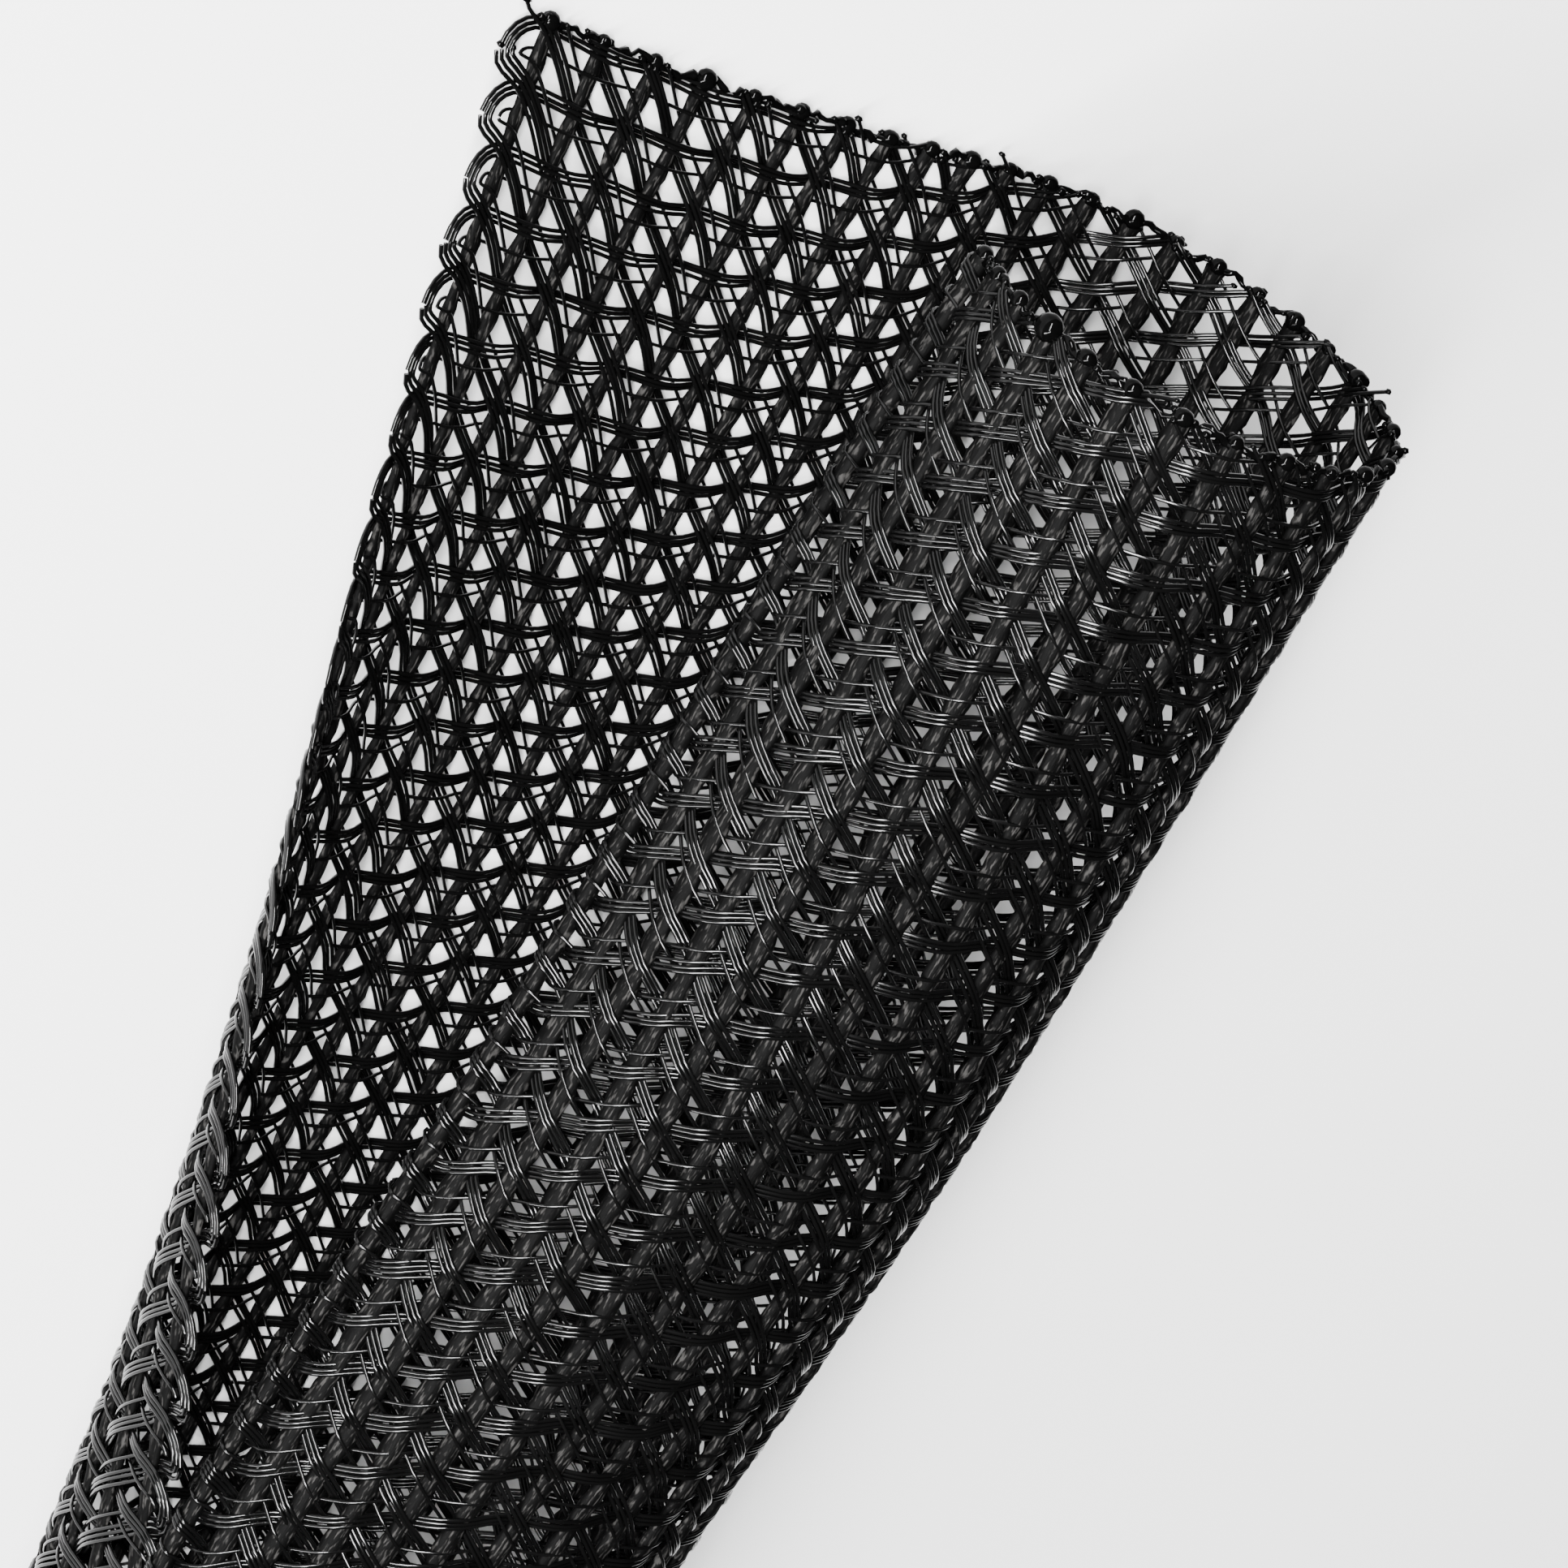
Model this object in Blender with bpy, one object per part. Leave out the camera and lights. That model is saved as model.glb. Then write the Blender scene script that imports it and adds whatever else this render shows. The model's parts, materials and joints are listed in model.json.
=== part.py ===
"""Self-wrapping braided cable sleeve, lying on a level surface with its slit opened at one end."""
import math

import bmesh
import bpy
import numpy as np

# Driving dimensions, in metres.
SLEEVE_LENGTH = 0.3048          # sold by the foot
DEVELOPED_WIDTH = 0.150         # lip to wing edge when the braid is laid flat
WALL = 0.0012                   # over a lengthwise yarn and the strands that cross it
VALLEY_WALL = 0.0006            # between the yarns, where only strands cross
CURL_ARC = 0.1007               # lip to the line that the sleeve rests on
RESTING_STRIP = 0.0030          # strip that its own weight presses level
WING_LEAD = 0.0027              # how far the wing's corner stands past the rest of the cut

# Distances from the opened cut end.
HALF_OPEN_AT = 0.066
MEETING_AT = 0.118              # the wing's edge reaches the lip
TUCKED_AT = 0.142               # it lies just under the lip
HALF_CLOSED_AT = 0.166
CLOSED_AT = 0.215               # the roll keeps its shape from here on

# Radii of the braid's bend in the section at each of those places: at the lip,
# on both sides of the resting strip and at the wing's edge. A flat stretch has none.
OPEN_BEND = (0.0168, 0.0226, None, None)
HALF_OPEN_BEND = (0.0247, 0.0200, 0.2200, 0.0240)
MEETING_BEND = (0.0451, 0.0172, 0.0398, 0.0201)
TUCKED_BEND = (0.0285, 0.0197, 0.0282, 0.0166)
HALF_CLOSED_BEND = (0.0254, 0.0198, 0.0220, 0.0183)
CLOSED_BEND = (0.0228, 0.0194, 0.0179, 0.0208)

# Lengthwise yarns: closer together at the lip and the turn than along the curl and the wing.
YARN_GAPS = 34
LIP_MARGIN = 0.0008             # the outermost yarns lie this far inside the two edges
WING_MARGIN = 0.0028
CURL_SIDE_AT = 0.036            # from the lip
TURN_AT = 0.082
LIP_SPACING = 0.0033
CURL_SIDE_SPACING = 0.0049
TURN_SPACING = 0.0039
WING_SPACING = 0.0058
STRIP_MARGIN = 0.0007           # a ridge or valley nearer to the resting strip's side is left out

LENGTH_STEPS = 30               # faces from one cut end to the other
WALK_STEPS = 4                  # short turns walked for each face
SPACING_STEPS = 500

BRAID_COLOUR = (0.012, 0.012, 0.013, 1.0)
BRAID_ROUGHNESS = 0.38


def stations():
    """Each station's place along the sleeve, with its bends as curvatures."""
    places = (0.0, HALF_OPEN_AT, MEETING_AT, TUCKED_AT, HALF_CLOSED_AT, CLOSED_AT)
    radii = (OPEN_BEND, HALF_OPEN_BEND, MEETING_BEND, TUCKED_BEND, HALF_CLOSED_BEND, CLOSED_BEND)
    return places, [[1.0 / radius if radius else 0.0 for radius in row] for row in radii]


def slope(places, values, index):
    """Slope of the smooth curve through the stations: level once the roll is closed."""
    if index == len(places) - 1:
        return 0.0
    before = max(index - 1, 0)
    return (values[index + 1] - values[before]) / (places[index + 1] - places[before])


def smooth_value(places, values, along):
    """Cubic curve through the stations' values."""
    if along >= places[-1]:
        return values[-1]
    index = max(number for number, place in enumerate(places) if place <= along)
    span = places[index + 1] - places[index]
    share = (along - places[index]) / span
    start, end = values[index], values[index + 1]
    leave = slope(places, values, index) * span
    arrive = slope(places, values, index + 1) * span
    turn = share * share * (3.0 - 2.0 * share)
    return (start + (end - start) * turn + leave * share * (1.0 - share) ** 2
            - arrive * share * share * (1.0 - share))


def section_bends(along):
    """The four bends of the section that lies this far from the opened end."""
    places, bends = stations()
    return [smooth_value(places, values, along) for values in zip(*bends)]


def walk(distances, first_bend, last_bend, side):
    """Points at these distances from the resting strip's side, along one side of a section."""
    x = side * RESTING_STRIP / 2
    z = heading = walked = 0.0
    points = []
    for distance in distances:
        step = (distance - walked) / WALK_STEPS
        for number in range(WALK_STEPS):
            share = (walked + (number + 0.5) * step) / distances[-1]
            turn = step * (first_bend + (last_bend - first_bend) * share)
            x += side * step * math.cos(heading + turn / 2)
            z += step * math.sin(heading + turn / 2)
            heading += turn
        walked = distance
        points.append((x, z))
    return points


def ridges_and_valleys():
    """Distances from the lip of the lengthwise yarns and of the valleys between them, in turn."""
    places = (0.0, CURL_SIDE_AT, TURN_AT, DEVELOPED_WIDTH)
    spacings = (LIP_SPACING, CURL_SIDE_SPACING, TURN_SPACING, WING_SPACING)
    arcs = np.linspace(LIP_MARGIN, DEVELOPED_WIDTH - WING_MARGIN, SPACING_STEPS)
    closeness = 1.0 / np.array([smooth_value(places, spacings, arc) for arc in arcs])
    passed = np.cumsum(closeness) - closeness[0]
    half_gaps = np.linspace(0.0, passed[-1], 2 * YARN_GAPS + 1)
    return [float(arc) for arc in np.interp(half_gaps, passed, arcs)]


def braid_columns():
    """Distance from the lip of each column of corners, with 1 on a ridge and 0 in a valley."""
    strip_sides = (CURL_ARC - RESTING_STRIP / 2, CURL_ARC + RESTING_STRIP / 2)
    columns = [(0.0, 0.0), (DEVELOPED_WIDTH, 0.0)] + [(side, 1.0) for side in strip_sides]
    for number, arc in enumerate(ridges_and_valleys()):
        if not strip_sides[0] - STRIP_MARGIN < arc < strip_sides[1] + STRIP_MARGIN:
            columns.append((arc, 1.0 - number % 2))
    return sorted(columns)


def section(along, arcs):
    """Middle line of the wall at these distances from the lip."""
    at_lip, before_strip, after_strip, at_edge = section_bends(along)
    curl = [CURL_ARC - RESTING_STRIP / 2 - arc for arc in arcs if arc < CURL_ARC]
    wing = [arc - CURL_ARC - RESTING_STRIP / 2 for arc in arcs if arc > CURL_ARC]
    return walk(curl[::-1], before_strip, at_lip, -1)[::-1] + walk(wing, after_strip, at_edge, 1)


def cut_lead(arc, along):
    """How far the slanted cut carries this part of the braid past a square cut."""
    past_rest = max(arc - CURL_ARC, 0.0) / (DEVELOPED_WIDTH - CURL_ARC)
    still_open = max(1.0 - along / CLOSED_AT, 0.0)
    return WING_LEAD * past_rest ** 2 * still_open ** 2


def curled_braid():
    """A flat sheet of braid, row by row from the opened end, laid on its sections."""
    columns = braid_columns()
    arcs = [arc for arc, ridge in columns]
    last_column = len(columns) - 1
    bm = bmesh.new()
    bmesh.ops.create_grid(bm, x_segments=last_column, y_segments=LENGTH_STEPS, size=0.5)
    ridge_layer = bm.verts.layers.deform.verify()
    rows = [section(SLEEVE_LENGTH * row / LENGTH_STEPS, arcs) for row in range(LENGTH_STEPS + 1)]
    for vert in bm.verts:
        column = round((vert.co.x + 0.5) * last_column)
        row = round((vert.co.y + 0.5) * LENGTH_STEPS)
        along = SLEEVE_LENGTH * row / LENGTH_STEPS
        x, z = rows[row][column]
        vert.co = (x, along - cut_lead(arcs[column], along), z + WALL / 2)
        vert[ridge_layer][0] = columns[column][1]
    bmesh.ops.recalc_face_normals(bm, faces=bm.faces)
    mesh = bpy.data.meshes.new("braided_sleeve")
    bm.to_mesh(mesh)
    bm.free()
    return mesh


def braid_material():
    material = bpy.data.materials.new("black_braid")
    material.use_nodes = True
    shader = material.node_tree.nodes["Principled BSDF"]
    shader.inputs["Base Color"].default_value = BRAID_COLOUR
    shader.inputs["Roughness"].default_value = BRAID_ROUGHNESS
    shader.inputs["Metallic"].default_value = 0.0
    material.diffuse_color = BRAID_COLOUR
    return material


def centred_on_floor(sleeve):
    """The place that puts the middle of the finished sleeve's underside at the origin."""
    corners = sleeve.evaluated_get(bpy.context.evaluated_depsgraph_get()).bound_box
    low = [min(corner[axis] for corner in corners) for axis in range(3)]
    high = [max(corner[axis] for corner in corners) for axis in range(3)]
    return (-(low[0] + high[0]) / 2, -(low[1] + high[1]) / 2, -low[2])


def main():
    for item in list(bpy.context.scene.objects):
        bpy.data.objects.remove(item, do_unlink=True)
    mesh = curled_braid()
    sleeve = bpy.data.objects.new("braided_sleeve", mesh)
    bpy.context.scene.collection.objects.link(sleeve)
    mesh.materials.append(braid_material())
    sleeve.vertex_groups.new(name="ridges")
    wall = sleeve.modifiers.new("wall", "SOLIDIFY")
    wall.thickness = WALL
    wall.vertex_group = "ridges"
    wall.thickness_vertex_group = VALLEY_WALL / WALL
    wall.offset = 0.0
    wall.use_even_offset = True
    wall.use_quality_normals = True
    sleeve.location = centred_on_floor(sleeve)


main()
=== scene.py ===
import json
import math
import random

import bmesh
import bpy
import numpy as np
from mathutils import Matrix, Vector


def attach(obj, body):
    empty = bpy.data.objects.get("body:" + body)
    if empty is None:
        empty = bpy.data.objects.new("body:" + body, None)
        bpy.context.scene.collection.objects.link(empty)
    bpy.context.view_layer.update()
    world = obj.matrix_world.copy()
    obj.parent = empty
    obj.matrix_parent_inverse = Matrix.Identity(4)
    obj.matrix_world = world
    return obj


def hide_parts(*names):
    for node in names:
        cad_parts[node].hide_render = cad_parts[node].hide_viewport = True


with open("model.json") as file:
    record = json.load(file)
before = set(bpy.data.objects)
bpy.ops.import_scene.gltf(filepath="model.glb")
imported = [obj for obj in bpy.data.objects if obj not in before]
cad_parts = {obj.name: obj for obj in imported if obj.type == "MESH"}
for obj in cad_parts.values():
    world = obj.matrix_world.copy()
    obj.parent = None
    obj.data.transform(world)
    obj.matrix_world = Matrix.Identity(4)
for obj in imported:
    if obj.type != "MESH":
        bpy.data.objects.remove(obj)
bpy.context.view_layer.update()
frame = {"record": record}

# Lengths are in millimetres until a finished mesh is wrapped round the sleeve.
SLEEVE = "braided_sleeve"
METRES = 0.001

# The laid-out braid and its rolled sections, as in the part's source.
SLEEVE_LENGTH = 304.8
DEVELOPED_WIDTH = 150.0
WALL = 1.2
CURL_ARC = 100.7
RESTING_STRIP = 3.0
WING_LEAD = 2.7
STATIONS = (0.0, 66.0, 118.0, 142.0, 166.0, 215.0)
FLAT = math.inf
STATION_RADII = (
    (16.8, 22.6, FLAT, FLAT),
    (24.7, 20.0, 220.0, 24.0),
    (45.1, 17.2, 39.8, 20.1),
    (28.5, 19.7, 28.2, 16.6),
    (25.4, 19.8, 22.0, 18.3),
    (22.8, 19.4, 17.9, 20.8),
)

# Braid: lengthwise yarns, and strands that cross them both ways. The braid is drawn out
# where the wing is pressed flat, and pushed together at the lip.
YARN_GAPS = 34
GROUP_SPACING = 4.6              # along the sleeve
EDGE_YARN_AT = 0.8
LAST_YARN_AT = 147.2
YARN_SPACING_AT = (0.0, 36.0, 82.0, 150.0)
YARN_SPACINGS = (3.3, 4.9, 3.9, 5.8)
SKEW_AT = ((0.0, 0.05), (15.0, 0.12), (25.0, 0.28), (36.0, 0.43), (50.0, 0.34), (78.0, 0.0),
           (87.0, -0.10), (105.0, -0.34), (118.0, -0.43), (150.0, -0.46))
SKEW_HELD_TO = 110.0             # the skew fades out along the closed stretch
SKEW_GONE_AT = 290.0
SPREAD_OUT_AT = (88.0, 122.0)    # the braid opens between these places, from curl to wing

# Strands: groups of three, now and then four, with a single one between two groups.
GROUP_STRAND_RADIUS = 0.178
SINGLE_STRAND_RADIUS = 0.15
STRAND_SPACINGS = (0.372, 0.392)
LANES = (-1.0, 0.0, 1.0)
CROWDED_LANES = (-1.5, -0.5, 0.5, 1.5)
CROWDED_SHARE = 0.05
GROUP_JITTER = 0.10
SINGLE_JITTER = 0.15
SPARE_GROUPS = 4
SWING = 0.47                     # how far a strand swings out of the braid's middle
SWING_SPREAD = (0.94, 1.06)
GROUP_PHASE = 0.1875             # over one crossing pair, then under the next
SINGLE_PHASE = 0.0625
SINGLE_SHIFT = 0.125             # share of a group spacing

# A strand's wrap round the edge yarn at the lip and its loop at the wing's edge.
WRAP_REACH = 0.98
WRAP_HEIGHT = 0.92
WRAP_ADVANCE = 0.35
WRAP_ANGLES = (0.0, 30.0, 60.0)
LIP_TURN_GAPS = 0.8              # the gaps over which a strand turns to its wrap
WING_LOOP_REACH = 3.0
SINGLE_LOOP_REACH = 1.6
REACH_WAVE = 0.12                # the loops' reach rises and falls by this share
REACH_WAVE_RATE = 0.37
LOOP_LEAVE = 1.5
LOOP_ARRIVE = 1.65
LOOP_POINTS = 5
LOOP_PARTING = 0.35              # how much further apart a group's strands are in the loop

# How strands stray from their lanes. Waves run at a rate drawn between two.
LIP_LANE_REACH = 2.0             # from here on a lane lies square to the strand's run
FADE_GAPS = 2.0
BREATHING = 0.09
STRAY = 0.04
STRAY_RATES = (0.4, 0.9)
RIPPLE = 0.02
RIPPLE_RATES = (0.7, 1.6)
ANY_PHASE = (0.0, 6.28)

# Yarns.
YARN_HALF_WIDTHS = (0.92, 0.77)
YARN_PINCH = 0.18
YARN_FLATNESS = 0.58
YARN_RAGGEDNESS = 0.035
YARN_SWELL = 0.05
SWELL_RATES = (0.7, 1.2)
SWELL_FACTORS = (0.55, 1.3)      # two swells, each at this many times its drawn rate
YARN_BENDS = ((0.10, 0.12, 0.25), (0.05, 0.5, 0.9))      # each bend's size and range of rates
EDGE_YARN_HALF_WIDTH = 0.78
EDGE_YARN_PINCH = 0.04
EDGE_YARN_REACH = 1.5            # what lies nearer to the edge yarn's place belongs to it

# The hot cut at both ends.
CUT_REACH = 2.5
CUT_UNEVENNESS = (-0.4, 0.5)
PROUD_SHARE = 0.05
PROUD_LENGTHS = (0.7, 1.5)
SEAM_STEP = 0.45
SEAM_FROM = 0.3
SEAM_SHORT_OF_EDGE = 1.2
SEAM_OUT = 0.05
SEAM_ALONG_WAVES = ((0.22, 7.0), (0.18, 2.6), (0.10, 1.3))
SEAM_HEIGHT_WAVES = ((0.16, 5.0), (0.14, 2.1))
SEAM_RADIUS = 0.27
SEAM_RADIUS_WAVES = ((0.07, 3.6), (0.06, 1.7), (0.04, 0.9))
WAVE_LENGTH_SPREAD = (0.75, 1.3)
CAP_RADII = (0.24, 0.38)
CAP_WIDTHS = (0.9, 1.4)
CAP_LENGTHS = (0.7, 1.1)
KNOB_RADII = (0.60, 0.95)
LIP_KNOBS = (0.85, 0.75, 0.80, 1.20)
KNOB_OUT = 0.15
KNOB_LOBES = 2
KNOB_LENGTHS = (0.75, 1.0)
KNOB_HEIGHT = 0.85
LOBE_SIZES = (0.45, 0.7)
LOBE_SHIFTS = ((-0.5, 0.5), (-0.3, 0.4), (-0.4, 0.4))    # across, outward and up

# From DETAIL_END on, strands and yarns have fewer points and sides.
DETAIL_END = 132.0
POINTS_PER_GAP = 5
FAR_POINTS_PER_GAP = 3
STRAND_SIDES = 6
FAR_STRAND_SIDES = 4
YARN_STRETCHES = (
    # name, from, to, step, sides
    ("yarns_opened_end", 0.0, DETAIL_END, 0.7, 8),
    ("yarns_closed_end", DETAIL_END, SLEEVE_LENGTH, 1.4, 6),
)

SEED = 41
YARN_SEED = SEED + 3
CUT_SEED = SEED + 5
MELTED_SEED = SEED + 7
TINY = 1e-9


def smooth_value(places, values, along):
    """Cubic curve through values at places, level after the last one."""
    if along >= places[-1]:
        return values[-1]
    index = max(number for number, place in enumerate(places) if place <= along)

    def slope(number):
        if number == len(places) - 1:
            return 0.0
        before = max(number - 1, 0)
        return (values[number + 1] - values[before]) / (places[number + 1] - places[before])

    span = places[index + 1] - places[index]
    share = (along - places[index]) / span
    turn = share * share * (3.0 - 2.0 * share)
    return (values[index] + (values[index + 1] - values[index]) * turn
            + slope(index) * span * share * (1.0 - share) ** 2
            - slope(index + 1) * span * share * share * (1.0 - share))


def mount_place(name):
    """A mount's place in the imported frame, in metres."""
    return next(mount["pos_m"] for mount in frame["record"]["mounts"] if mount["name"] == name)


class Wrap:
    """Carries a point of the laid-out braid to its place on the rolled sleeve."""

    ARC_STEP = 0.25
    ROW_STEP = 2.0
    MARGIN = 3.0
    SHORT_OF_LAST_ROW = 1.001

    def __init__(self):
        self.rows = np.arange(0.0, SLEEVE_LENGTH + self.ROW_STEP, self.ROW_STEP)
        sections = [self.section(row) for row in self.rows]
        self.arc = sections[0][0]
        self.middle = np.array([section[1] for section in sections])
        self.normal = np.array([section[2] for section in sections])
        self.shift_x = mount_place("resting_strip")[0] / METRES
        self.shift_y = mount_place("cut_end")[1] / METRES - SLEEVE_LENGTH

    def section(self, along):
        """Arc positions, middle line and outward normals of one section."""
        bends = [smooth_value(STATIONS, [1.0 / radius for radius in radii], along)
                 for radii in zip(*STATION_RADII)]
        sides = ((-1, CURL_ARC, bends[1], bends[0]),
                 (1, DEVELOPED_WIDTH - CURL_ARC, bends[2], bends[3]))
        arcs, points, normals = [], [], []
        for side, length, first, last in sides:
            run = length - RESTING_STRIP / 2
            steps = int((run + self.MARGIN) / self.ARC_STEP)
            middles = (np.arange(steps) + 0.5) * self.ARC_STEP
            turns = self.ARC_STEP * (first + (last - first) * np.minimum(middles / run, 1.0))
            heading = np.concatenate([[0.0], np.cumsum(turns)])
            between = (heading[1:] + heading[:-1]) / 2
            x = side * (RESTING_STRIP / 2
                        + np.concatenate([[0.0], np.cumsum(np.cos(between)) * self.ARC_STEP]))
            z = np.concatenate([[0.0], np.cumsum(np.sin(between)) * self.ARC_STEP]) + WALL / 2
            walked = np.arange(steps + 1) * self.ARC_STEP
            arcs.append(CURL_ARC + side * (RESTING_STRIP / 2 + walked))
            points.append(np.column_stack([x, z]))
            normals.append(np.column_stack([side * np.sin(heading), -np.cos(heading)]))
        return (np.concatenate([arcs[0][::-1], arcs[1]]),
                np.vstack([points[0][::-1], points[1]]),
                np.vstack([normals[0][::-1], normals[1]]))

    def __call__(self, flat):
        """flat: columns are the arc from the lip, the length from the cut and the height."""
        arc, along, height = flat[:, 0], flat[:, 1], flat[:, 2]
        row = np.clip(along / self.ROW_STEP, 0, len(self.rows) - self.SHORT_OF_LAST_ROW)
        row_index = row.astype(int)
        row_share = (row - row_index)[:, None]
        column = np.interp(arc, self.arc, np.arange(len(self.arc)))
        column_index = np.minimum(column.astype(int), len(self.arc) - 2)
        column_share = (column - column_index)[:, None]

        def sample(grid):
            near = grid[row_index, column_index] * (1 - column_share) \
                + grid[row_index, column_index + 1] * column_share
            far = grid[row_index + 1, column_index] * (1 - column_share) \
                + grid[row_index + 1, column_index + 1] * column_share
            return near * (1 - row_share) + far * row_share

        middle = sample(self.middle) + sample(self.normal) * height[:, None]
        past_rest = np.clip((arc - CURL_ARC) / (DEVELOPED_WIDTH - CURL_ARC), 0.0, 1.0)
        still_open = np.clip(1.0 - along / STATIONS[-1], 0.0, 1.0)
        lead = WING_LEAD * past_rest ** 2 * still_open ** 2
        return np.column_stack([middle[:, 0] + self.shift_x,
                                along - lead + self.shift_y,
                                middle[:, 1]]) * METRES


wrap = Wrap()


class Lattice:
    """Where the numbered yarns and the strands' straight lines lie on the laid-out braid."""

    STEP = 0.25

    def __init__(self):
        self.arc = np.arange(0.0, DEVELOPED_WIDTH + self.STEP, self.STEP)
        spacing = np.array([smooth_value(YARN_SPACING_AT, YARN_SPACINGS, arc) for arc in self.arc])
        gaps = np.cumsum(self.STEP / spacing)
        first, last = np.interp((EDGE_YARN_AT, LAST_YARN_AT), self.arc, gaps)
        self.gap = (gaps - first) / (last - first) * YARN_GAPS
        self.skew = np.cumsum(np.interp(self.arc, *zip(*SKEW_AT)) * self.STEP)
        self.skew -= self.skew.mean()

    def __call__(self, gap, length):
        """Arc from the lip and length from the cut, for gap numbers and lengths before skewing."""
        arc = np.interp(gap, self.gap, self.arc)
        inside = np.clip(gap, 0.0, YARN_GAPS)
        share = np.clip((length - SKEW_HELD_TO) / (SKEW_GONE_AT - SKEW_HELD_TO), 0.0, 1.0)
        held = 1.0 - share * share * (3.0 - 2.0 * share)
        return arc, length + held * np.interp(inside, self.gap, self.skew)


lattice = Lattice()


class Path:
    """One strand's or yarn's course over the laid-out braid.

    The columns are the arc from the lip, the length from the cut, the height and the radius."""

    def __init__(self, points):
        self.points = np.asarray(points, dtype=float)

    def between(self, low, high):
        """The stretches of the course that lie between two lengths along the sleeve."""
        stretches, current = [], []
        along = self.points[:, 1]
        for number in range(len(self.points) - 1):
            pair = sorted((along[number], along[number + 1]))
            if pair[1] < low or pair[0] > high:
                if current:
                    stretches.append(current)
                current = []
                continue
            span = along[number + 1] - along[number]
            ends = []
            for share in (0.0, 1.0):
                limited = min(max(along[number] + span * share, low), high)
                ends.append(share if abs(span) < TINY else (limited - along[number]) / span)
            start = self.points[number] * (1 - ends[0]) + self.points[number + 1] * ends[0]
            end = self.points[number] * (1 - ends[1]) + self.points[number + 1] * ends[1]
            if not current:
                current = [start]
            current.append(end)
            if ends[1] < 1.0:
                stretches.append(current)
                current = []
        if current:
            stretches.append(current)
        return [Path(stretch) for stretch in stretches if len(stretch) > 1]


def wave(places, rates, draw):
    """A sine over places, with a rate drawn between two and any phase."""
    return np.sin(places * draw.uniform(*rates) + draw.uniform(*ANY_PHASE))


def uneven(places, waves, draw):
    """A wandering line: each wave is its size and its mean length."""
    return sum(size * np.sin(2 * math.pi * places / (length * draw.uniform(*WAVE_LENGTH_SPREAD))
                             + draw.uniform(0.0, 2 * math.pi)) for size, length in waves)


# Strands.

def lip_wrap(first, side):
    """Half of the wrap round the edge yarn, for a strand whose run starts at first."""
    angles = np.radians(WRAP_ANGLES)
    return np.column_stack([EDGE_YARN_AT - WRAP_REACH * np.cos(angles),
                            first[1] - side * WRAP_ADVANCE * np.cos(angles),
                            side * WRAP_HEIGHT * np.sin(angles)])


def wing_loop(before, last, side, single):
    """Half of the loop past the last yarn, for a strand whose run ends from before to last."""
    rise = side * (SINGLE_SHIFT if single else 0.5) * GROUP_SPACING
    tip_along = last[1] + rise
    reach = SINGLE_LOOP_REACH if single else WING_LOOP_REACH
    reach = reach * (1.0 + REACH_WAVE * math.sin(REACH_WAVE_RATE * tip_along))
    tip = np.array([last[0] + reach, tip_along, 0.0])
    run = last - before
    leave = run / run[0] * reach * LOOP_LEAVE
    arrive = np.array([0.0, rise * LOOP_ARRIVE, 0.0])
    share = np.linspace(0.0, 1.0, LOOP_POINTS + 1)[1:, None]
    return ((2 * share**3 - 3 * share**2 + 1) * last + (share**3 - 2 * share**2 + share) * leave
            + (3 * share**2 - 2 * share**3) * tip + (share**3 - share**2) * arrive)


def shift_to_lane(course, lane, points_per_gap, draw):
    """Move a course to its lane: along the sleeve at the lip, square to its run elsewhere."""
    tangent = np.gradient(course[:, :2], axis=0)
    tangent /= np.linalg.norm(tangent, axis=1)[:, None] + TINY
    square = np.column_stack([-tangent[:, 1], tangent[:, 0]])
    from_lip = np.clip((course[:, 0] - EDGE_YARN_AT) / LIP_LANE_REACH, 0.0, 1.0)[:, None]
    square = square * from_lip + np.array([0.0, 1.0]) * (1.0 - from_lip)
    place = np.arange(len(course)) / points_per_gap
    in_run = np.clip(np.minimum(place, place[::-1]) / FADE_GAPS, 0.0, 1.0)
    breathing = 1.0 + BREATHING * in_run * np.sin(place * math.pi + draw.uniform(*ANY_PHASE))
    stray = STRAY * in_run * wave(place, STRAY_RATES, draw)
    at_loop = np.clip((place - place[-1]) * points_per_gap / LOOP_POINTS + 1.0, 0.0, 1.0)
    parted = breathing + LOOP_PARTING * at_loop
    spacing = np.interp(course[:, 0], SPREAD_OUT_AT, STRAND_SPACINGS)
    course[:, :2] += square * (lane * spacing * parted + stray)[:, None]
    course[:, 2] += RIPPLE * in_run * wave(place, RIPPLE_RATES, draw)


def strand_course(side, start, single, lane, points_per_gap, draw):
    """A strand from the wrap at the lip to the loop at the wing's edge.

    A rising strand, side 1, runs away from the opened end on its way to the wing, and a
    falling one, side -1, runs back to it. start is the length at which it passes the lip."""
    gaps = np.arange(0, YARN_GAPS * points_per_gap + 1) / points_per_gap
    length = start + side * GROUP_SPACING / 2 * gaps
    phase = SINGLE_PHASE if single else GROUP_PHASE
    height = side * SWING * draw.uniform(*SWING_SPREAD) * np.cos(math.pi * (gaps + phase))

    # Near the lip it leaves its straight line to meet the strand that it goes on as.
    meeting = side * ((SINGLE_SHIFT * GROUP_SPACING if single else 0.0) + WRAP_ADVANCE)
    near_lip = np.clip(1.0 - gaps / LIP_TURN_GAPS, 0.0, 1.0) ** 2
    length = length + meeting * near_lip
    height = height + side * (WRAP_HEIGHT - abs(height[0])) * near_lip

    run = np.column_stack([*lattice(gaps, length), height])
    course = np.vstack([lip_wrap(run[0], side), run, wing_loop(run[-2], run[-1], side, single)])
    shift_to_lane(course, lane, points_per_gap, draw)
    radius = SINGLE_STRAND_RADIUS if single else GROUP_STRAND_RADIUS
    return Path(np.column_stack([course, np.full(len(course), radius)]))


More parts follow.
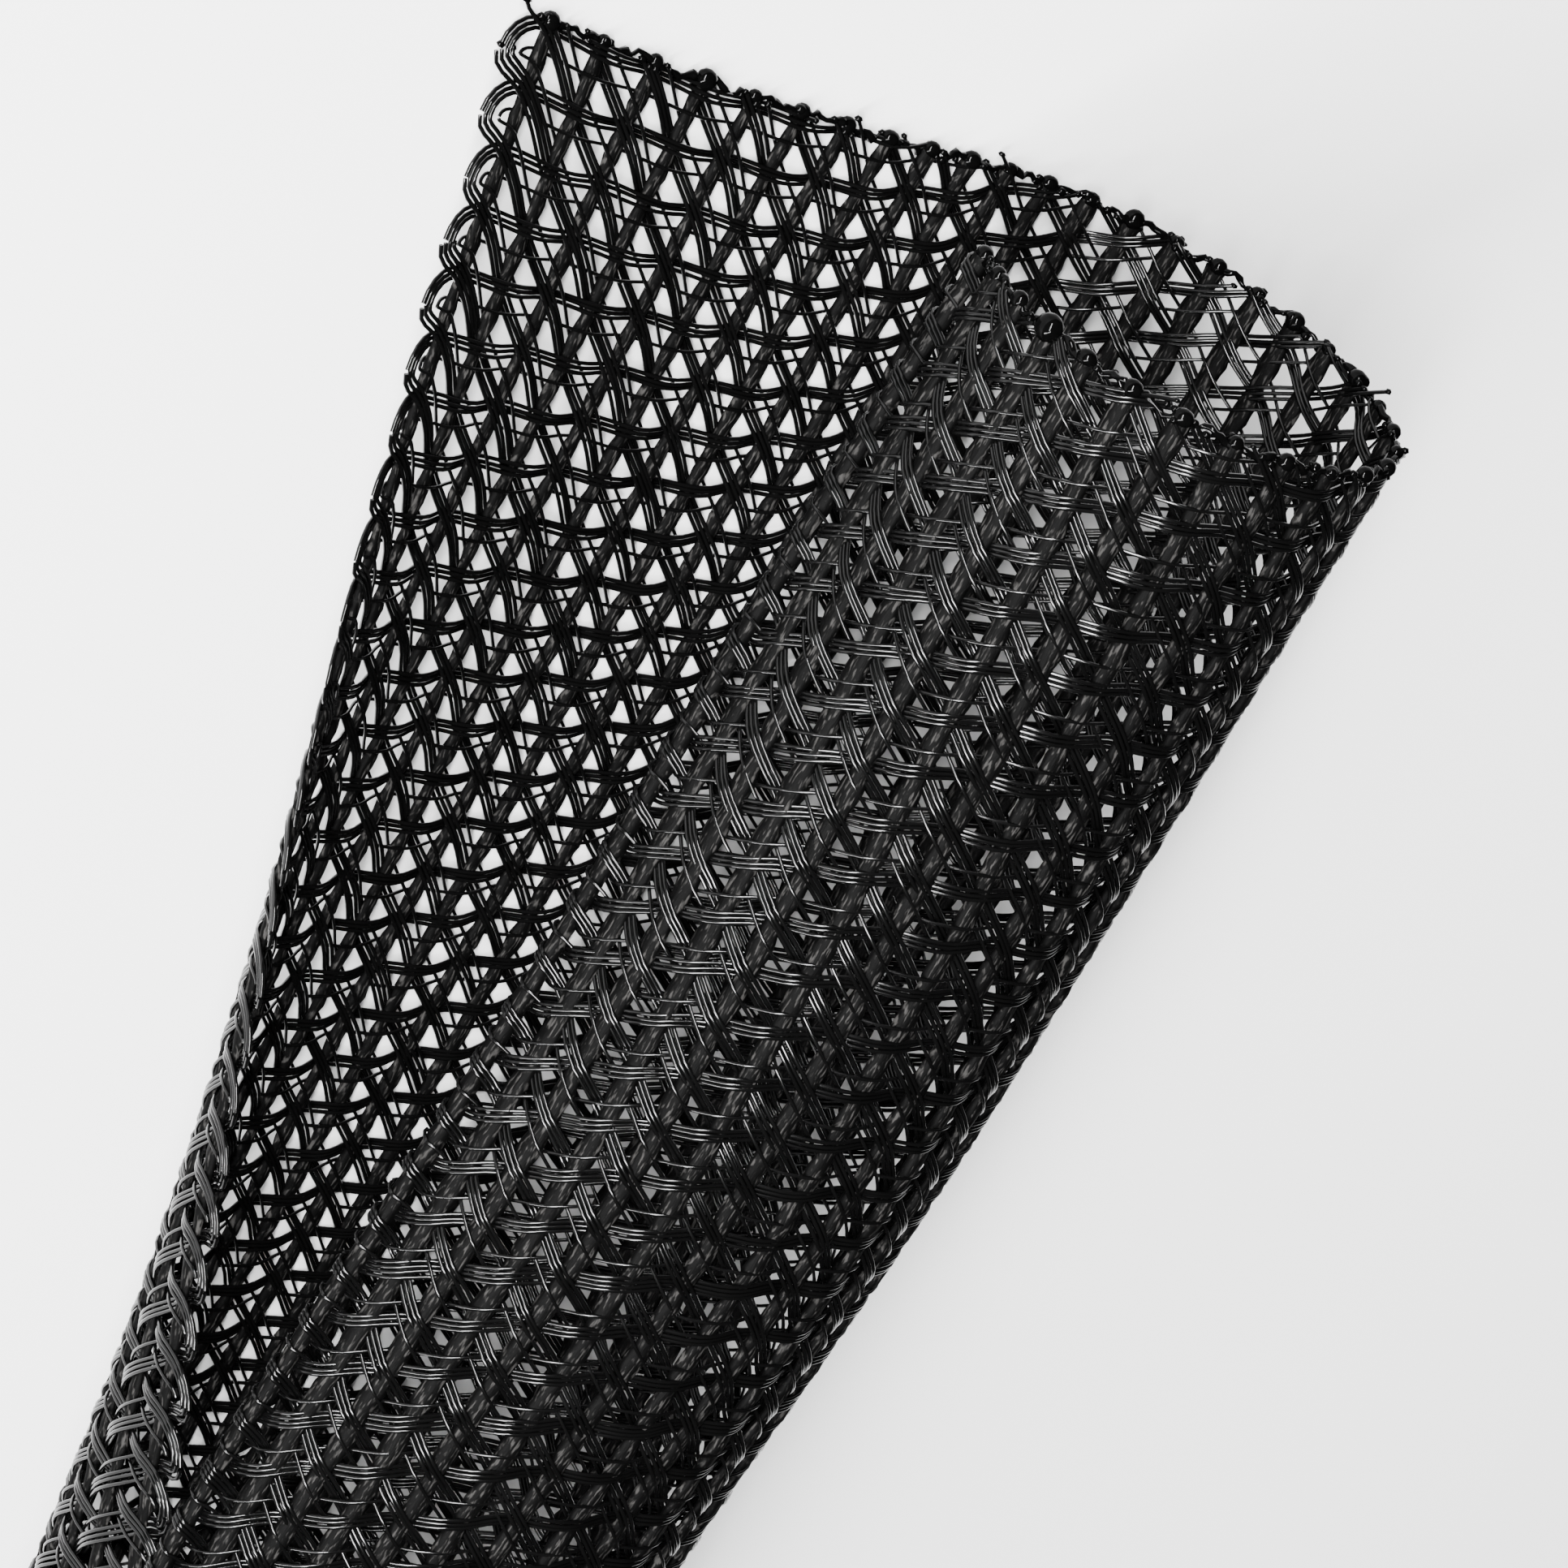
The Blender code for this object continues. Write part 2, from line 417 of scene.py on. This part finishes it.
def strand_groups(side, points_per_gap):
    """Every strand that runs one way: the groups' strands, and the single ones between them."""
    draw = random.Random(SEED + side)
    reach = YARN_GAPS * GROUP_SPACING / 2 + SPARE_GROUPS * GROUP_SPACING
    spread = np.ptp(lattice.skew) + GROUP_SPACING
    low = -spread - (reach if side > 0 else 0.0)
    high = SLEEVE_LENGTH + spread + (0.0 if side > 0 else reach)
    groups, singles = [], []
    for number in range(math.floor(low / GROUP_SPACING), math.ceil(high / GROUP_SPACING)):
        lanes = CROWDED_LANES if draw.random() < CROWDED_SHARE else LANES
        start = number * GROUP_SPACING + draw.uniform(-GROUP_JITTER, GROUP_JITTER)
        groups.extend(strand_course(side, start, False, lane, points_per_gap, draw) for lane in lanes)
        start = ((number + 0.5 - side * SINGLE_SHIFT) * GROUP_SPACING
                 + draw.uniform(-SINGLE_JITTER, SINGLE_JITTER))
        singles.append(strand_course(side, start, True, 0.0, points_per_gap, draw))
    return groups, singles


# Meshes.

def mesh_of_curve(name, courses, sides, wrapped):
    """Round strands along their courses, as one mesh. Wrapped courses are laid on the sleeve first."""
    curve = bpy.data.curves.new(name, "CURVE")
    curve.dimensions = "3D"
    curve.bevel_depth = METRES if wrapped else 1.0
    curve.bevel_resolution = sides // 2 - 2
    curve.use_fill_caps = True
    for course in courses:
        points = wrap(course.points) if wrapped else course.points[:, :3]
        spline = curve.splines.new("POLY")
        spline.points.add(len(points) - 1)
        spline.points.foreach_set("co", np.column_stack([points, np.ones(len(points))]).ravel())
        spline.points.foreach_set("radius", course.points[:, 3])
    holder = bpy.data.objects.new(name, curve)
    mesh = bpy.data.meshes.new_from_object(holder)
    bpy.data.objects.remove(holder)
    bpy.data.curves.remove(curve)
    mesh.name = name
    return mesh


def mesh_corners(mesh):
    corners = np.empty(len(mesh.vertices) * 3)
    mesh.vertices.foreach_get("co", corners)
    return corners.reshape(-1, 3)


def lay_on_sleeve(mesh, flat):
    """Give a laid-out mesh its flat coordinates as a UV map, then wrap it round the sleeve."""
    uv = mesh.uv_layers.new(name="laid_out")
    corners = np.empty(len(mesh.loops), dtype=int)
    mesh.loops.foreach_get("vertex_index", corners)
    uv.data.foreach_set("uv", (flat[corners, :2] * METRES).ravel())
    mesh.vertices.foreach_set("co", wrap(flat).ravel())
    mesh.update()


def add_piece(mesh, material):
    """Put a finished mesh in the scene as a piece of the sleeve."""
    mesh.materials.clear()
    mesh.materials.append(material)
    mesh.shade_smooth()
    piece = bpy.data.objects.new(mesh.name, mesh)
    bpy.context.scene.collection.objects.link(piece)
    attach(piece, "root")
    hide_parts(SLEEVE)


# Materials.

class Value:
    """A shader socket that Python's operators can work on."""

    def __init__(self, finish, socket):
        self.finish = finish
        self.socket = socket

    def __add__(self, other):
        return self.finish.math("ADD", self, other)

    def __mul__(self, other):
        return self.finish.math("MULTIPLY", self, other)

    def __sub__(self, other):
        return self.finish.math("SUBTRACT", self, other)

    def __rsub__(self, other):
        return self.finish.math("SUBTRACT", other, self)

    __radd__ = __add__
    __rmul__ = __mul__


class Finish:
    """A material and the one way in which its nodes are added."""

    OBJECT_COORDINATES = 3       # output of a Texture Coordinate node
    COLOUR_MIX_INPUTS = (0, 6, 7)
    COLOUR_MIX_OUTPUT = 2

    def __init__(self, name):
        self.material = bpy.data.materials.new(name)
        self.material.use_nodes = True
        self.tree = self.material.node_tree

    def fill(self, node, sockets):
        """Set or link a node's inputs, named by their number or by their words joined with _."""
        for key, value in sockets.items():
            socket = node.inputs[key if isinstance(key, int) else key.replace("_", " ")]
            if isinstance(value, Value):
                self.tree.links.new(value.socket, socket)
            else:
                socket.default_value = value

    def add(self, kind, settings, sockets, output=0):
        node = self.tree.nodes.new(kind)
        for key, setting in settings.items():
            setattr(node, key, setting)
        self.fill(node, sockets)
        return Value(self, node.outputs[output])

    def math(self, operation, first, second):
        return self.add("ShaderNodeMath", {"operation": operation}, {0: first, 1: second})

    def place(self):
        return self.add("ShaderNodeTexCoord", {}, {}, self.OBJECT_COORDINATES)

    def laid_out(self):
        return self.add("ShaderNodeUVMap", {"uv_map": "laid_out"}, {})

    def stretched(self, vector, turn, scale):
        return self.add("ShaderNodeMapping", {},
                        {"Vector": vector, "Rotation": (0.0, 0.0, turn), "Scale": scale})

    def noise(self, vector, scale, detail=2.0, roughness=0.5):
        return self.add("ShaderNodeTexNoise", {}, {"Vector": vector, "Scale": scale,
                                                   "Detail": detail, "Roughness": roughness})

    def colour(self, share, dark, light):
        levels = (share, (*dark, 1.0), (*light, 1.0))
        return self.add("ShaderNodeMix", {"data_type": "RGBA"},
                        dict(zip(self.COLOUR_MIX_INPUTS, levels)), self.COLOUR_MIX_OUTPUT)

    def bump(self, height, strength, distance):
        return self.add("ShaderNodeBump", {}, {"Height": height, "Strength": strength,
                                               "Distance": distance})

    def surface(self, **sockets):
        """Fill the shader's sockets. Returns the finished material."""
        self.fill(self.tree.nodes["Principled BSDF"], sockets)
        return self.material


def grey(level):
    return (level, level, level)


def monofilament():
    finish = Finish("black_monofilament")
    place = finish.place()
    drawn = finish.noise(place, scale=2600.0, detail=3.0)
    patches = finish.noise(place, scale=260.0)
    return finish.surface(Base_Color=finish.colour(patches, dark=grey(0.0002), light=grey(0.0006)),
                          Roughness=0.11 + 0.05 * patches,
                          Specular_IOR_Level=0.085,
                          Normal=finish.bump(drawn, strength=0.02, distance=0.00001))


def spun_yarn():
    """Twisted fibres on nearly black yarn, with painted sheen: the fibres' lighter streaks, lit in
    clumps, are painted into the colour.
    """
    finish = Finish("black_spun_yarn")
    sheet = finish.laid_out()
    along_fibres = finish.stretched(sheet, turn=0.42, scale=(4600.0, 750.0, 1.0))
    fibres = finish.noise(along_fibres, scale=1.0, detail=3.0, roughness=0.55)
    sheen_clumps = finish.noise(sheet, scale=900.0)
    # Painted sheen: lighter fibre streaks, strongest in clumps, mixed into the base colour.
    light = (fibres - 0.54) * 10.0 * (0.1 + 1.6 * sheen_clumps)
    return finish.surface(Base_Color=finish.colour(light, dark=grey(0.0001),
                                                   light=(0.0062, 0.0060, 0.0058)),
                          Roughness=0.55 + 0.3 * fibres,
                          Specular_IOR_Level=0.015,
                          Normal=finish.bump(fibres, strength=0.9, distance=0.00008))


def melted_plastic():
    finish = Finish("melted_plastic")
    place = finish.place()
    lumps = finish.noise(place, scale=1500.0)
    fine = finish.noise(place, scale=6000.0)
    return finish.surface(Base_Color=finish.colour(lumps, dark=grey(0.0001), light=grey(0.0004)),
                          Roughness=0.05 + 0.06 * lumps,
                          Specular_IOR_Level=0.02,
                          Normal=finish.bump(lumps + 0.3 * fine, strength=0.15, distance=0.00005))


def pale_floor():
    finish = Finish("pale_floor")
    shade = finish.noise(finish.place(), scale=3.0)
    return finish.surface(Base_Color=finish.colour(shade, dark=grey(0.255), light=grey(0.27)),
                          Roughness=0.6)


# Pieces.

def clipped(courses, low, high):
    return [stretch for course in courses for stretch in course.between(low, high)]


def cut_strands(courses, draw):
    """The courses up to the uneven opened cut, with a few standing proud of it."""
    stretches = []
    for course in courses:
        past_cut = PROUD_LENGTHS if draw.random() < PROUD_SHARE else CUT_UNEVENNESS
        stretches.extend(course.between(-draw.uniform(*past_cut), DETAIL_END))
    return stretches


def ends_near(stretches, edge):
    """The points in which courses end within reach of a cut."""
    ends = (end for stretch in stretches for end in (stretch.points[0], stretch.points[-1]))
    return [end for end in ends if abs(end[1] - edge) < CUT_REACH]


def braid_strands():
    """Both directions of strands. Returns where they end at the opened and at the closed cut."""
    material = monofilament()
    draw = random.Random(CUT_SEED)
    opened, closed = [], []
    for side, direction in ((1, "rising"), (-1, "falling")):
        groups, singles = strand_groups(side, POINTS_PER_GAP)
        for name, courses in (("groups", groups), ("singles", singles)):
            stretches = cut_strands(courses, draw)
            mesh = mesh_of_curve(f"{direction}_{name}_opened_end", stretches, STRAND_SIDES, True)
            add_piece(mesh, material)
            opened.extend(ends_near(stretches, 0.0))
        groups, singles = strand_groups(side, FAR_POINTS_PER_GAP)
        stretches = clipped(groups + singles, DETAIL_END, SLEEVE_LENGTH)
        mesh = mesh_of_curve(f"{direction}_strands_closed_end", stretches, FAR_STRAND_SIDES, True)
        add_piece(mesh, material)
        closed.extend(ends_near(stretches, SLEEVE_LENGTH))
    return opened, closed


def yarn_course(number, step, draw):
    """A lengthwise yarn, pinched where groups cross it and full between them."""
    spread = np.ptp(lattice.skew)
    length = np.arange(-spread, SLEEVE_LENGTH + spread, step)
    crossing = length / GROUP_SPACING - (0.5 if number % 2 else 0.0)
    pinch = 0.5 + 0.5 * np.cos(2 * math.pi * crossing)
    arc, along = lattice(np.full(len(length), float(number)), length)
    if number == 0:
        half_width = EDGE_YARN_HALF_WIDTH - EDGE_YARN_PINCH * pinch
    else:
        half_width = np.interp(arc, SPREAD_OUT_AT, YARN_HALF_WIDTHS) - YARN_PINCH * pinch
    for factor in SWELL_FACTORS:
        half_width = half_width * (1.0 + YARN_SWELL * wave(length * factor, SWELL_RATES, draw))
    for size, *rates in YARN_BENDS:
        arc = arc + size * wave(length, rates, draw)
    return Path(np.column_stack([arc, along, 0 * along, half_width]))


def lengthwise_yarns():
    material = spun_yarn()
    for name, low, high, step, sides in YARN_STRETCHES:
        draw = random.Random(YARN_SEED)
        courses = [yarn_course(number, step, draw) for number in range(YARN_GAPS + 1)]
        mesh = mesh_of_curve(name, clipped(courses, low, high), sides, False)
        flat = mesh_corners(mesh)
        inner = flat[:, 0] > EDGE_YARN_AT + EDGE_YARN_REACH
        flat[:, 2] *= np.where(inner, YARN_FLATNESS, 1.0)
        flat[:, [0, 2]] += np.random.default_rng(SEED).normal(0.0, YARN_RAGGEDNESS, (len(flat), 2))
        lay_on_sleeve(mesh, flat)
        add_piece(mesh, material)


def melted_seam(name, edge, outward, draw):
    """The uneven line in which the cut's melted plastic has run together."""
    arc = np.arange(SEAM_FROM, DEVELOPED_WIDTH - SEAM_SHORT_OF_EDGE, SEAM_STEP)
    along = edge + outward * (SEAM_OUT + uneven(arc, SEAM_ALONG_WAVES, draw))
    height = uneven(arc, SEAM_HEIGHT_WAVES, draw)
    radius = SEAM_RADIUS + uneven(arc, SEAM_RADIUS_WAVES, draw)
    seam = Path(np.column_stack([arc, along, height, radius]))
    return mesh_of_curve(f"melted_seam_{name}", [seam], STRAND_SIDES, True)


def add_drop(bm, middle, radii, subdivisions):
    place = Matrix.Translation(middle) @ Matrix.Diagonal((*radii, 1.0))
    bmesh.ops.create_icosphere(bm, subdivisions=subdivisions, radius=1.0, matrix=place)


def add_knob(bm, middle, size, outward, draw):
    """A large drop at a yarn's end, with a smaller lobe on it."""
    for lobe in range(KNOB_LOBES):
        across, out, up = (draw.uniform(*shifts) for shifts in LOBE_SHIFTS)
        shift = Vector((across, out * outward, up)) * size * min(lobe, 1)
        lobe_size = size * (draw.uniform(*LOBE_SIZES) if lobe else 1.0)
        radii = (lobe_size, lobe_size * draw.uniform(*KNOB_LENGTHS), lobe_size * KNOB_HEIGHT)
        add_drop(bm, middle + shift, radii, subdivisions=2)


def melted_drops(name, edge, outward, strand_ends, draw):
    """A cap on each strand's end and a knob on each yarn's."""
    bm = bmesh.new()
    for end in strand_ends:
        size = draw.uniform(*CAP_RADII)
        radii = (size * draw.uniform(*CAP_WIDTHS), size * draw.uniform(*CAP_LENGTHS), size)
        add_drop(bm, end[:3], radii, subdivisions=1)
    for number in range(YARN_GAPS + 1):
        size = LIP_KNOBS[number] if number < len(LIP_KNOBS) else draw.uniform(*KNOB_RADII)
        at = float(np.interp(number, lattice.gap, lattice.arc))
        add_knob(bm, Vector((at, edge + outward * KNOB_OUT, 0.0)), size, outward, draw)
    mesh = bpy.data.meshes.new(f"melted_drops_{name}")
    bm.to_mesh(mesh)
    bm.free()
    lay_on_sleeve(mesh, mesh_corners(mesh))
    return mesh


def melted_ends(opened, closed):
    material = melted_plastic()
    for name, edge, outward, strand_ends in (("opened_end", 0.0, -1, opened),
                                             ("closed_end", SLEEVE_LENGTH, 1, closed)):
        draw = random.Random(MELTED_SEED + outward)
        add_piece(melted_seam(name, edge, outward, draw), material)
        add_piece(melted_drops(name, edge, outward, strand_ends, draw), material)


# Stage. The camera's lengths are in millimetres, the floor's and the lights' in metres.

VIEW_LEAN = math.radians(21.1)       # off square to the axis, towards the opened end
VIEW_ROUND = math.radians(46.9)      # round the axis, towards the wing
PICTURE_TURN = math.radians(30.8)
CAMERA_DISTANCE = 595.0
PICTURE_WIDTH = 121.8
AIM = (-2.3, 49.2, 13.2)             # from the resting strip's opened end
SENSOR = 36.0
NEAREST_SEEN = 10.0

FLOOR_REACH = 4.0
LIGHT_AIM = (0.0, -0.09, 0.02)
LIGHT_DISTANCE = 0.9
LIGHT_SIZE = (0.85, 0.08)
LIGHTS = (
    # name, where it stands as seen from the sleeve, direction of its length, watts
    ("key_light", (0.68, -0.45, 0.58), (-0.26, -0.88, -0.38), 160.0),
    ("fill_light", (0.75, 0.30, 0.59), (-0.23, -0.70, 0.65), 124.0),
)
ROOM_LIGHT = 0.04


def camera():
    round_axis = Matrix.Rotation(VIEW_ROUND, 3, "Y")
    view = round_axis @ Vector((0.0, math.sin(VIEW_LEAN), -math.cos(VIEW_LEAN)))
    level_up = round_axis @ -Vector((0.0, math.cos(VIEW_LEAN), math.sin(VIEW_LEAN)))
    up = level_up * math.cos(PICTURE_TURN) - view.cross(level_up) * math.sin(PICTURE_TURN)
    right = view.cross(up)
    aim = Vector((AIM[0] + wrap.shift_x, AIM[1] + wrap.shift_y, AIM[2]))
    place = (aim - view * CAMERA_DISTANCE) * METRES
    data = bpy.data.cameras.new("camera")
    data.sensor_width = SENSOR
    data.lens = SENSOR * CAMERA_DISTANCE / PICTURE_WIDTH
    data.clip_start = NEAREST_SEEN * METRES
    shot = bpy.data.objects.new("camera", data)
    shot.matrix_world = Matrix.Translation(place) @ Matrix((right, up, -view)).transposed().to_4x4()
    bpy.context.scene.collection.objects.link(shot)
    bpy.context.scene.camera = shot


def strip_light(name, toward, run, power):
    """A long soft light, seen from the sleeve in one direction, with its length along another."""
    back = Vector(toward).normalized()
    side = Vector(run)
    side = (side - back * side.dot(back)).normalized()
    data = bpy.data.lights.new(name, "AREA")
    data.shape = "RECTANGLE"
    data.size, data.size_y = LIGHT_SIZE
    data.energy = power
    light = bpy.data.objects.new(name, data)
    turned = Matrix((side, back.cross(side), back)).transposed().to_4x4()
    light.matrix_world = Matrix.Translation(Vector(LIGHT_AIM) + back * LIGHT_DISTANCE) @ turned
    bpy.context.scene.collection.objects.link(light)


def room():
    """The floor and the weak even light from all round."""
    bm = bmesh.new()
    bmesh.ops.create_grid(bm, x_segments=1, y_segments=1, size=FLOOR_REACH)
    mesh = bpy.data.meshes.new("floor")
    bm.to_mesh(mesh)
    bm.free()
    mesh.materials.append(pale_floor())
    floor = bpy.data.objects.new("floor", mesh)
    bpy.context.scene.collection.objects.link(floor)
    world = bpy.data.worlds.new("studio")
    world.use_nodes = True
    background = world.node_tree.nodes["Background"]
    background.inputs["Color"].default_value = (*grey(1.0), 1.0)
    background.inputs["Strength"].default_value = ROOM_LIGHT
    bpy.context.scene.world = world


camera()
room()
for light in LIGHTS:
    strip_light(*light)
cut_ends = braid_strands()
lengthwise_yarns()
melted_ends(*cut_ends)
